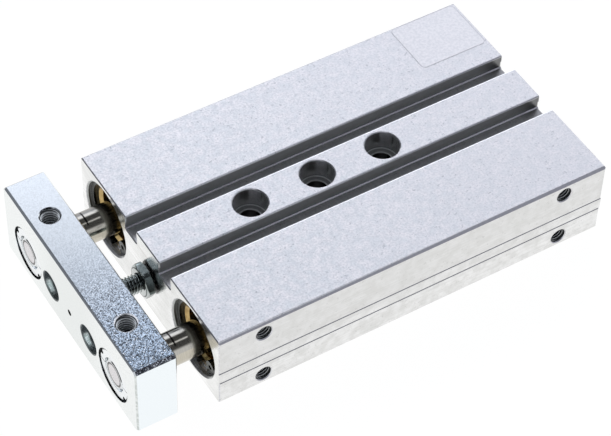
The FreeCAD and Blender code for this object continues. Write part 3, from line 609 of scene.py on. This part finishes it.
# %% Edges of the housing
def draw_edges(tree, tone, where, outward, ways, at):
    """Painted highlights on slot floors, lips and counterbores, and painted shade on the front and long
    bevels.
    """
    # Painted highlight on the bevel of each slot's floor.
    tone = tint(tree, at.floor_bevel_highlight, tone, (0.66, 0.65, 0.63))
    # Painted highlights on the rounded lips of the slots.
    far_lips = work_out(tree, "MINIMUM", fade(tree, outward["Y"], -0.3, -0.1), at.in_strip)
    near_lips = either(tree, near(tree, where["Y"], slot_outer + 0.2, 0.3, 0.1),
                       near(tree, where["Y"], 0.2 - slot_inner, 0.3, 0.1))
    near_lips = both(tree, near_lips, stretch(tree, where["Z"], housing_top - 0.3, housing_top - 0.1))
    highlit = both(tree, either(tree, far_lips, near_lips), stretch(tree, outward["Z"], 0.3, 0.6))
    tone = tint(tree, highlit, tone, WHITE)
    # Painted highlights on the rims of the drilled holes and the counterbores.
    hole_lips = either(tree, near(tree, at.from_hole, drill_radius + 0.2, 0.15, 0.2),
                       near(tree, at.from_hole, sink_radius - 0.15, 0.1, 0.2))
    hole_lips = both(tree, hole_lips, near(tree, where["Z"], sink_floor, 0.15, 0.1, 0.8))
    tone = tint(tree, hole_lips, tone, (0.85, 0.86, 0.86))
    # Painted shade on the front bevels and along the long bevels.
    tone = tint(tree, ways["Upper Front"], tone, (0.16, 0.16, 0.17))
    line_top = stretch(
        tree, where["X"], housing_low.x, housing_high.x, housing_top - 0.05, housing_top - 0.3)
    long_edge = fade(tree, minus(tree, where["Z"], line_top), -0.05, 0.05, 0.75)
    return tint(tree, both(tree, ways["Upper Side"], long_edge), tone, (0.34, 0.335, 0.38))


print("worn lips up to", round(housing_top, 2), "mm")

# %% Anodised aluminium
def anodised_aluminium():
    """A surface for each way a face looks, then shade in the cuts and lines along the edges."""
    finish = new_finish("anodised_aluminium")
    tree, place = finish.tree, finish.place
    where, outward = axes_of(tree, place), axes_of(tree, finish.normal)
    ways = effect(tree, faces, normal=finish.normal)
    at = housing_regions(tree, place, where)
    blotch = pattern(tree, clouds, place, size=blotch_size)
    dents = pattern(tree, specks, place, size=dent_size, share=speck_share)
    skin, dull = etched_skin(tree, place, where["X"], blotch, dents)
    side, lines = drawn_side(tree, place, where["Z"], blotch, dents)
    end, strokes = milled_end(tree, place)
    grain = pattern(tree, clouds, place, size=0.3)
    tone = tint(tree, ways["X"], tint(tree, ways["Y"], skin, side), end)
    tone = shade_cuts(tree, tone, place, where, ways, at)
    tone = draw_edges(tree, tone, where, outward, ways, at)
    gloss = blend(tree, ways["X"], blend(tree, ways["Y"], dull, 0.28), 0.2)
    wire(finish, base_color=tone, roughness=blend(tree, at.floor_bevel_highlight, gloss, 0.1))
    relief(finish, blend(tree, ways["X"], blend(tree, ways["Y"], grain, lines), strokes), 0.006)
    return finish


keep(anodised_aluminium())

# %% [markdown]
# ## Zinc plating
# The yoke is ground steel with bright zinc. The zinc grows as small crystals that lean each their own way.
# At the dim end of the yoke single crystals still catch the bright wall, which gives its glitter, and
# bright sparks are painted there too as painted glints; the top is painted darker and bluer towards that
# end as painted shade. A bump texture would only roughen the plate; a spangle that leans the normal of each
# crystal keeps it shiny.

# %% Regions and faces of the yoke
def yoke_regions(tree, place, where):
    """Distances from planes and axes, and the crystals, which lean more towards the near end."""
    nearer = stretch(tree, where["Y"], -20.0, 42.0)
    off_middle = absolute(tree, where["Y"])
    off_height = minus(tree, where["Z"], bore_height)
    to_front = minus(tree, yoke_high.x, where["X"])
    lean = stretch(tree, nearer, 0.0, 1.0, 0.015, 0.11)
    crystals = effect(tree, spangle, place=place, size=0.26, tilt=lean)
    off_load_hole = minus(tree, where["X"], load_hole_middle.x)
    return SimpleNamespace(
        nearer=nearer, off_middle=off_middle, to_front=to_front, crystals=crystals,
        glint=stretch(tree, crystals["Tone"], 0.55, 1.0),
        from_corner=distance(tree, to_front, minus(tree, yoke_high.y, off_middle)),
        from_load_hole=distance(tree, off_load_hole, minus(tree, off_middle, load_hole_side)),
        from_front_hole=distance(tree, minus(tree, off_middle, front_hole_side), off_height),
        from_rod=effect(tree, rings, place=place)["Radius"],
        from_mark=distance(tree, where["Y"], off_height))


def plated_faces(tree, ways, at):
    """Pale sides, duller in the middle, and a top painted darker and bluer towards the near end as painted
    shade, with painted glints there.
    """
    crystal = at.crystals["Tone"]
    plain = tint(tree, crystal, (0.80, 0.83, 0.82), (0.90, 0.92, 0.91))
    plain = tint(tree, fade(tree, at.off_middle, 6.0, 24.0, 0.6), plain, (0.74, 0.77, 0.755))
    plain = tint(tree, ways["Y"], plain, (0.90, 0.95, 0.975))
    # Painted shade: the top turns darker and bluer towards the near end.
    top = tint(tree, at.nearer, (0.555, 0.58, 0.595), (0.335, 0.415, 0.51))
    top = tint(tree, crystal, top, (0.60, 0.64, 0.68), share=0.25)
    # Painted glints: bright crystals towards the near end.
    painted_glints = both(tree, stretch(tree, crystal, 0.84, 0.94), at.nearer)
    top = tint(tree, painted_glints, top, (0.92, 0.96, 1.0))
    return tint(tree, ways["Z"], plain, top)


print("yoke: front at", round(yoke_high.x, 2), "mm, top at", round(yoke_high.z, 2), "mm")

# %% Edges of the yoke
def yoke_edges(tree, tone, place, where, ways, at):
    """Painted shade on the bevels and the front edge, painted glints on the end bevels, a beaded corner and
    a painted highlight round the near load hole.
    """
    # Painted shade on the bevels, with painted glints on the end bevels.
    end_bevel = tint(tree, at.glint, (0.05, 0.055, 0.065), (0.7, 0.72, 0.76))
    tone = tint(tree, ways["Upper Front"], tone, (0.17, 0.18, 0.19))
    tone = tint(tree, ways["Upper Side"], tone, end_bevel)
    # Painted shade: a dark line along the front of the top.
    line_width = stretch(tree, at.nearer, 0.0, 1.0, 0.85, 0.6)
    front_line = both(tree, fade(tree, minus(tree, at.to_front, line_width), -0.2, 0.0), ways["Z"])
    tone = tint(tree, front_line, tone, (0.11, 0.118, 0.122))
    beads = pattern(tree, specks, place, size=0.8, share=0.55)
    corner = both(tree, fade(tree, at.from_corner, 0.35, 0.6), stretch(tree, beads, 0.0, 1.0, 0.35, 0.8))
    tone = tint(tree, corner, tone, (0.52, 0.56, 0.545))
    # Painted highlight: a white ring round the near load hole.
    at_top = stretch(tree, where["Z"], yoke_high.z - 0.6, yoke_high.z - 0.4)
    ring = both(tree, near(tree, at.from_load_hole, load_hole_radius + 0.2, 0.12, 0.1), at.nearer, at_top)
    return tint(tree, ring, tone, WHITE)


print("load holes:", load_hole_side, "mm from the middle")

# %% Holes of the yoke
seat_radius, mark_radius = 8.25, 1.0


def yoke_holes(tree, tone, outward, at):
    """Front holes painted dark as painted shade, with a painted highlight on a band, and painted black
    shade in the seats round the rods and in the centre mark. Gives the tone, the holes' mask and the band."""
    shallow = fade(tree, at.to_front, 3.0, 6.0)
    rim = front_hole_radius + 0.25
    hollow = both(tree, fade(tree, at.from_front_hole, rim, rim + 0.15), shallow)
    # Painted shade on the holes' walls, and a painted highlight on the band that faces the light.
    facing_light = both(tree, stretch(tree, outward["Z"], 0.2, 0.7), stretch(tree, outward["Y"], -0.1, 0.4))
    band = both(tree, near(tree, at.to_front, 1.1, 0.3, 1.0), facing_light, hollow)
    bright = tint(tree, at.glint, (0.48, 0.58, 0.53), (0.95, 1.0, 0.97))
    lining = tint(tree, band, (0.07, 0.085, 0.08), bright)
    tone = tint(tree, hollow, tone, lining, share=0.9)
    # Painted shade: the seats round the rods are black.
    seat = both(tree, fade(tree, at.from_rod, seat_radius - 0.05, seat_radius + 0.1),
                stretch(tree, at.to_front, 0.05, 0.3), shallow)
    tone = tint(tree, seat, tone, (0.015, 0.015, 0.015))
    # Painted shade in the centre mark.
    mark = both(tree, fade(tree, at.from_mark, mark_radius, mark_radius + 0.1),
                stretch(tree, at.to_front, 0.02, 0.1))
    return tint(tree, mark, tone, (0.02, 0.02, 0.02)), hollow, band


print("rod seats:", 2 * seat_radius, "mm")

# %% Zinc-plated steel
def zinc_plated_steel():
    """Bright zinc on ground steel. In the holes' band the normal tips forwards, as on cutter marks."""
    finish = new_finish("zinc_plated_steel")
    tree, place = finish.tree, finish.place
    where, outward = axes_of(tree, place), axes_of(tree, finish.normal)
    ways = effect(tree, faces, normal=finish.normal)
    at = yoke_regions(tree, place, where)
    tone = plated_faces(tree, ways, at)
    tone = yoke_edges(tree, tone, place, where, ways, at)
    tone, hollow, band = yoke_holes(tree, tone, outward, at)
    tipped = vector_step(tree, "ADD", at.crystals["Normal"], scaled(tree, (0.75, 0.0, 0.0), band))
    wire(finish, base_color=tone, normal=vector_step(tree, "NORMALIZE", tipped),
         metallic=stretch(tree, minus(tree, hollow, band), 0.0, 1.0, 1.0, 0.1),
         roughness=blend(tree, hollow, blend(tree, ways["Z"], 0.2, 0.11), 0.3))
    return finish


keep(zinc_plated_steel())

# %% [markdown]
# The stop screw is plated in a barrel with many others, which leaves it duller and a little green. Its
# crystals are too small to see, so soft clouds do instead. The head's front is painted paler than its sides
# as painted light, its near side and its back are painted dark as painted shade, and a dark line lies where
# the round face meets the bevel.

# %% Plated screw
head_face = 8.9


def zinc_plated_screw():
    """Grey-green clouds, painted shade on the near side and at the back, painted light in front with a dark
    ring round it.
    """
    finish = new_finish("zinc_plated_screw")
    tree, place = finish.tree, finish.place
    where, outward = axes_of(tree, place), axes_of(tree, finish.normal)
    dull = pattern(tree, clouds, place, size=1.2)
    in_front = stretch(tree, outward["X"], 0.6, 0.8)
    tone = tint(tree, dull, (0.27, 0.315, 0.31), (0.34, 0.385, 0.38))
    # Painted shade on the faces that look to the near side.
    tone = tint(tree, stretch(tree, outward["Y"], 0.3, 0.8), tone, (0.06, 0.075, 0.07), share=0.75)
    # Painted light: the faces that look forwards are painted paler.
    for face_mask in (effect(tree, faces, normal=finish.normal)["X"], in_front):
        tone = tint(tree, face_mask, tone, (0.50, 0.53, 0.525))
    # Painted shade on the faces that look back.
    tone = tint(tree, fade(tree, outward["X"], -0.5, -0.3), tone, (0.03, 0.03, 0.03))
    from_axis = distance(tree, where["Y"], minus(tree, where["Z"], bore_height))
    ring = both(tree, near(tree, from_axis, head_face / 2, 0.1, 0.12), in_front)
    tone = tint(tree, ring, tone, (0.05, 0.06, 0.06))
    wire(finish, base_color=tone, roughness=stretch(tree, dull, 0.0, 1.0, 0.16, 0.24))
    return finish


keep(zinc_plated_screw())

# %% [markdown]
# ## Turned and ground metals
# Caps, bushes, collars, rings and pistons come from the lathe and carry fine rings round the axis of their
# bore, in tone and in relief. An anisotropic shader would stretch the gloss the same way, but real rings
# also look right close up. One function makes them all, with each metal's own colours.

# %% Turned metals
def turned_metal(name, dark, bright, roughness, pitch, depth, front=None):
    """Fine rings round the bore's axis, in tone and in relief. Behind a given front and off the rod it is
    painted dark as painted shade.
    """
    finish = new_finish(name)
    tree, place = finish.tree, finish.place
    turned = effect(tree, rings, place=place, pitch=pitch)
    stain = pattern(tree, clouds, place, size=2.5)
    tone = tint(tree, blend(tree, 0.4, stain, turned["Mask"]), dark, bright)
    if front is not None:
        # Painted shade behind the front, away from the rod.
        behind_front = fade(tree, axes_of(tree, place)["X"], front - 0.4, front - 0.05, 0.95)
        off_rod = stretch(tree, turned["Radius"], 5.6, 6.0)
        tone = tint(tree, both(tree, behind_front, off_rod), tone, (0.05, 0.05, 0.05))
    dull = stretch(tree, stain, 0.0, 1.0, roughness * 0.8, roughness * 1.3)
    wire(finish, base_color=tone, roughness=dull)
    relief(finish, turned["Mask"], depth)
    return finish


# Name, dark and bright tone, roughness, the rings' pitch and depth, and the front.
for settings in (
        ("turned_brass", (0.26, 0.17, 0.06), (0.60, 0.44, 0.20), 0.14, 0.25, 0.003),
        ("bearing_bronze", (0.42, 0.29, 0.15), (0.58, 0.42, 0.24), 0.4, 0.4, 0.004),
        ("turned_steel", (0.80, 0.83, 0.84), (0.92, 0.94, 0.95), 0.22, 0.25, 0.002, rod_high.x),
        ("spring_steel", (0.05, 0.053, 0.05), (0.13, 0.135, 0.125), 0.3, 0.4, 0.003),
        ("turned_aluminium", (0.70, 0.71, 0.74), (0.80, 0.81, 0.84), 0.3, 0.3, 0.004)):
    keep(turned_metal(*settings))

# %% [markdown]
# The rods are ground and polished, so they mirror the studio with only a trace of rings, and their far side
# is painted darker as painted shade. A short dark line on top near the yoke is painted shade where the
# turned shoulder starts. The rod's end was faced in two steps, which left a smaller disc, and a dark arc is
# painted on the bevel round it as painted shade.

# %% Polished rods
disc_radius, arc_radius, shoulder_gap = 3.55, 4.6, 5.45
arc_way = (0.0, 0.45, 0.9)


def polished_steel():
    """Faint grinding rings, painted shade on the far side, a painted shade line at the shoulder and a faced
    end.
    """
    finish = new_finish("polished_steel", roughness=0.13)
    tree, place = finish.tree, finish.place
    ground = effect(tree, rings, place=place, pitch=0.2)
    outward = axes_of(tree, finish.normal)
    black = (0.03, 0.028, 0.026)
    tone = tint(tree, ground["Mask"], (0.495, 0.465, 0.395), (0.58, 0.545, 0.465))
    # Painted shade on the far side of the rod.
    tone = tint(tree, fade(tree, outward["Y"], -0.3, 0.3), tone, (0.22, 0.215, 0.21), share=0.8)
    # Painted shade: a dark line where the shoulder starts, only on the top of the rod.
    shoulder = near(tree, axes_of(tree, place)["X"], yoke_low.x - shoulder_gap, 0.18, 0.15)
    tone = tint(tree, both(tree, shoulder, stretch(tree, outward["Z"], 0.80, 0.88)), tone, black)
    on_end = stretch(tree, outward["X"], 0.4, 0.6)
    end = tint(tree, ground["Mask"], (0.72, 0.69, 0.685), (0.80, 0.77, 0.765))
    off_disc = stretch(tree, ground["Radius"], disc_radius - 0.05, disc_radius + 0.05)
    end = tint(tree, off_disc, end, (0.90, 0.92, 0.91))
    tone = tint(tree, on_end, tone, end)
    flat_end = effect(tree, faces, normal=finish.normal)["X"]
    line = both(tree, near(tree, ground["Radius"], disc_radius, 0.28, 0.1), flat_end)
    # Painted shade: a dark arc on the part of the end's bevel that looks up and to the near side.
    arc = both(tree, stretch(tree, vector_step(tree, "DOT_PRODUCT", finish.normal, arc_way), 0.42, 0.55),
               near(tree, ground["Radius"], arc_radius, 0.35, 0.1), on_end)
    wire(finish, base_color=tint(tree, either(tree, line, arc), tone, black),
         metallic=stretch(tree, on_end, 0.0, 1.0, 1.0, 0.6))
    relief(finish, ground["Mask"], 0.0006)
    return finish


keep(polished_steel())

# %% [markdown]
# ## Mouldings
# Seals, buffers, guide rings and bonded magnets come out of a mould. They have no tool marks, only the fine
# grain of the mould and a faint bloom, so one function with two sizes of clouds does for all of them.

# %% Rubber and plastic
def moulded(name, dark, bright, roughness, grain_size):
    """A moulded piece of rubber or plastic: fine grain and a faint bloom."""
    finish = new_finish(name, metallic=0.0)
    tree, place = finish.tree, finish.place
    bloom = pattern(tree, clouds, place, size=3.0)
    grain = pattern(tree, clouds, place, size=grain_size)
    wire(finish, base_color=tint(tree, bloom, dark, bright),
         roughness=stretch(tree, grain, 0.0, 1.0, roughness * 0.9, roughness * 1.1))
    relief(finish, grain, 0.01)
    return finish


# Name, dark and bright tone, roughness and the grain's size.
for settings in (
        ("seal_rubber", (0.018, 0.018, 0.02), (0.04, 0.04, 0.042), 0.5, 0.12),
        ("buffer_elastomer", (0.09, 0.06, 0.04), (0.13, 0.09, 0.06), 0.5, 0.15),
        ("guide_plastic", (0.80, 0.78, 0.70), (0.88, 0.86, 0.79), 0.45, 0.2),
        ("bonded_magnet", (0.09, 0.09, 0.1), (0.15, 0.15, 0.16), 0.6, 0.1)):
    keep(moulded(*settings))

# %% [markdown]
# ## Dressing the solids
# The record says what each solid is made of, and every such slot now has a finish of the same name. A loop
# over the record puts them together, so a new solid in a known material needs no new line here.

# %% Give every solid its finish
for subpart in frame["record"]["subparts"]:
    solid = frame["nodes"][subpart["node"]]
    solid.data.materials[0] = finishes[subpart["material_slot"]]
print("solids dressed in", len(finishes), "finishes")

# %% [markdown]
# ## Screw threads
# A thread is a groove that climbs one pitch for each turn. The solids have plain holes and a plain shank. A
# Screw modifier could spin a profile into a helix, but a thread is also easy to write as a surface: the
# radius changes with the depth plus the turn. A tapped hole becomes a thin liner in the plain hole.

# %% Thread surfaces
rows_per_pitch = 14


def thread_wave(turns):
    """0 in the root of a thread and 1 on its crest: a triangle wave with its tips cut flat."""
    triangle = 1 - np.abs(2 * (turns % 1) - 1)
    return np.clip((triangle - 0.12) / 0.7, 0, 1)


def tapped_thread(name, mouth, inward, radius, pitch, depth):
    """A closed liner for a tapped hole. The inner face's radius is the hole's radius less the thread's
    height times a wave of the depth in pitches less the turn; the outer face lies in the wall."""
    start, height, wall = 0.3, 0.54 * pitch, 0.03
    stations = np.linspace(start, depth, int(rows_per_pitch * depth / pitch))
    down, turn = np.meshgrid(stations, full_turn(96), indexing="ij")
    entry = np.clip((down - start) / (0.5 * pitch), 0, 1)
    inner = radius - height * entry * thread_wave(down / pitch - turn / (2 * np.pi))
    outer = np.full((2, turn.shape[1]), radius + wall)
    reach = np.vstack([inner, outer])
    down = np.vstack([down, down[-1:], down[:1]])[..., None]
    turn = np.vstack([turn, turn[:2]])
    first = inward.orthogonal().normalized()
    second = inward.cross(first)
    points = (np.array(mouth) + down * np.array(inward)
              + (reach * np.cos(turn))[..., None] * np.array(first)
              + (reach * np.sin(turn))[..., None] * np.array(second))
    return grid_mesh(name, points * MM, wrap_rows=True, wrap_columns=True)


print("a thread is", thread_wave(0.0), "in its root and", thread_wave(0.5), "on its crest")

# %% Dress of a new piece
sharp_angle = np.radians(35)


def dress(piece, body, material, smooth=True):
    """Give a new piece its finish and its body, and soft shading up to an angle."""
    piece.data.materials.append(material)
    if smooth:
        piece.data.shade_smooth()
        piece.data.set_sharp_from_angle(angle=sharp_angle)
    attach(piece, body)
    print("dressed:", piece.name, "on", body)


print("edges stay sharp from", round(np.degrees(sharp_angle)), "degrees")

# %% [markdown]
# A fresh thread is bright on its crests, where the tap has rubbed, and dark in its roots, where no light
# comes in. The finish needs no light for that: it reads how far a point is from the hole's axis.

# %% Tapped holes
def cut_thread(name, middle, offset, across, radius, crest_end, bright):
    """A thread fresh from the tap: bright crests, dark roots and small tears. The holes are mirror twins
    about a middle, so the distance from an axis is the length of |place - middle| - offset across it. The
    crests end at a share of the radius."""
    finish = new_finish(name, metallic=0.7, roughness=0.4)
    tree, place = finish.tree, finish.place
    from_middle = vector_step(tree, "ABSOLUTE", vector_step(tree, "SUBTRACT", place, middle))
    from_axis = vector_step(tree, "MULTIPLY", vector_step(tree, "SUBTRACT", from_middle, offset), across)
    crest = fade(tree, vector_step(tree, "LENGTH", from_axis), 0.84 * radius, crest_end * radius)
    torn = pattern(tree, specks, place, size=0.4, share=0.42)
    tone = tint(tree, crest, (0.015, 0.018, 0.018), bright)
    wire(finish, base_color=tint(tree, torn, tone, (0.5, 0.52, 0.52), share=0.2))
    return finish.material


load_pitch, load_depth = 1.0, 6.3
port_pitch, port_depth = 0.8, 5.7
steel_thread = cut_thread("steel_thread", load_hole_middle, (0, load_hole_side, 0), (1, 1, 0),
                          load_hole_radius, 0.97, (0.92, 0.95, 0.95))
for label, sign in (("left", 1), ("right", -1)):
    mouth = load_hole_middle + Vector((0, sign * load_hole_side, 0))
    liner = tapped_thread(
        f"load_hole_thread_{label}", mouth, Vector((0, 0, -1)), load_hole_radius, load_pitch, load_depth)
    dress(liner, "slide", steel_thread)

port_thread = cut_thread("port_thread", port_middle, (port_along, 0, port_rise), (1, 0, 1),
                         port_radius, 0.91, (0.45, 0.46, 0.46))
for end_label, x_sign in (("front", 1), ("rear", -1)):
    for row_label, z_sign in (("upper", 1), ("lower", -1)):
        mouth = port_middle + Vector((x_sign * port_along, 0, z_sign * port_rise))
        liner = tapped_thread(
            f"port_thread_{end_label}_{row_label}", mouth, Vector((0, -1, 0)),
            port_radius, port_pitch, port_depth)
        dress(liner, "housing", port_thread)

# %% [markdown]
# ## Stop screw
# A hexagon screw in the yoke's middle sets where the yoke stops. Its solid has a plain shank, so the whole
# screw is drawn anew and stands for the solid. A hexagon prism cut by cones and a separate helix could be
# joined; one grid of stations along the axis and turns about it gives head, thread and tip in one skin.

# %% Stop screw
def stop_screw():
    """Hexagon head, thread and tip in one grid of stations along X and turns about it. On the head the
    radius is the hexagon's, cut by a cone at each face; on the shank it is a thread wave of the station in
    pitches plus the turn, cut by a cone at the tip."""
    flats, thickness, bevel_depth, bevel = 10.0, 2.8, 0.5, np.radians(25)
    crest, height, pitch, tip_length = 2.93, 0.5, 1.0, 0.8
    turn = full_turn(120)
    hexagon = flats / 2 / np.cos(turn % (np.pi / 3) - np.pi / 6)
    near_face = np.linspace(0, bevel_depth, 9)
    stations = np.concatenate([near_face, thickness - near_face[::-1]])
    to_face = np.minimum(stations, thickness - stations)
    head = np.minimum(hexagon[None, :], head_face / 2 + to_face[:, None] / np.tan(bevel))
    end = screw_high.x - screw_low.x
    along = np.linspace(thickness, end, int(rows_per_pitch * (end - thickness) / pitch))
    shank = crest - height * (1 - thread_wave(along[:, None] / pitch + turn[None, :] / (2 * np.pi)))
    tip = np.clip((end - along) / tip_length, 0, 1)
    shank = np.minimum(shank, crest - tip_length * (1 - tip[:, None]))
    reach = np.vstack([head, shank])
    x = screw_low.x + np.concatenate([stations, along])[:, None] + np.zeros_like(reach)
    y = reach * np.cos(turn)
    z = bore_height + reach * np.sin(turn)
    points = np.stack([x, y, z], axis=-1)
    return grid_mesh("threaded_stop_screw", points * MM, wrap_columns=True, caps=True)


screw = stop_screw()
dress(screw, "stop_screw", finishes["zinc_plated_screw"])
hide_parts("stop_screw")

# %% [markdown]
# ## Blank film
# A clear film lies on the rear corner of the top. It is left blank. Only its cut edge shows, because a
# little dirt gathers along it. A patch in the housing's finish could show that, but the film is a piece of
# its own, so it is a thin rounded plate, and its edge a fine raised line round it.

# %% Shape of the film
film_low, film_high = np.array([-63.9, -39.2]), np.array([-41.0, -20.3])
film_corner, thin = 1.6, 0.04
edge_out, edge_in, edge_rise = 0.02, 0.2, 1.5 * thin


def rounded_path(inset, count=160):
    """Points round a rectangle with round corners: the corner's centre plus its radius along the turn."""
    turn = full_turn(count)
    way = np.stack([np.cos(turn), np.sin(turn)], axis=-1)
    half = (film_high - film_low) / 2 - film_corner
    return (film_low + film_high) / 2 + half * np.sign(way + 1e-9) + (film_corner - inset) * way


def film_rows(insets, heights):
    """One row of the rounded path for each inset and height above the housing's top, in metres."""
    rows = []
    for inset, rise_above in zip(insets, heights):
        flat = rounded_path(inset)
        rows.append(np.column_stack([flat, np.full(len(flat), housing_high.z + rise_above)]))
    return np.stack(rows) * MM


film = grid_mesh("blank_film", film_rows((0, 0), (-thin, thin)), wrap_columns=True, caps=True)
edge_rows = film_rows((-edge_out, -edge_out, edge_in, edge_in), (-thin, edge_rise, edge_rise, -thin))
film_edge = grid_mesh("film_edge", edge_rows, wrap_rows=True, wrap_columns=True)

# %% Finish of the film
def clear_film(name, pale, deep, roughness):
    """The clouded metal seen through a clear film, or the dirt along its edge."""
    finish = new_finish(name, metallic=0.9, roughness=roughness)
    mottle = pattern(finish.tree, clouds, finish.place, size=0.8)
    wire(finish, base_color=tint(finish.tree, mottle, pale, deep))
    return finish.material


film_finish = clear_film("clear_film", (0.755, 0.738, 0.745), (0.66, 0.652, 0.665), 0.46)
edge_finish = clear_film("film_edge", (0.52, 0.51, 0.53), (0.64, 0.63, 0.65), 0.5)
for piece, material in ((film, film_finish), (film_edge, edge_finish)):
    dress(piece, "housing", material, smooth=False)
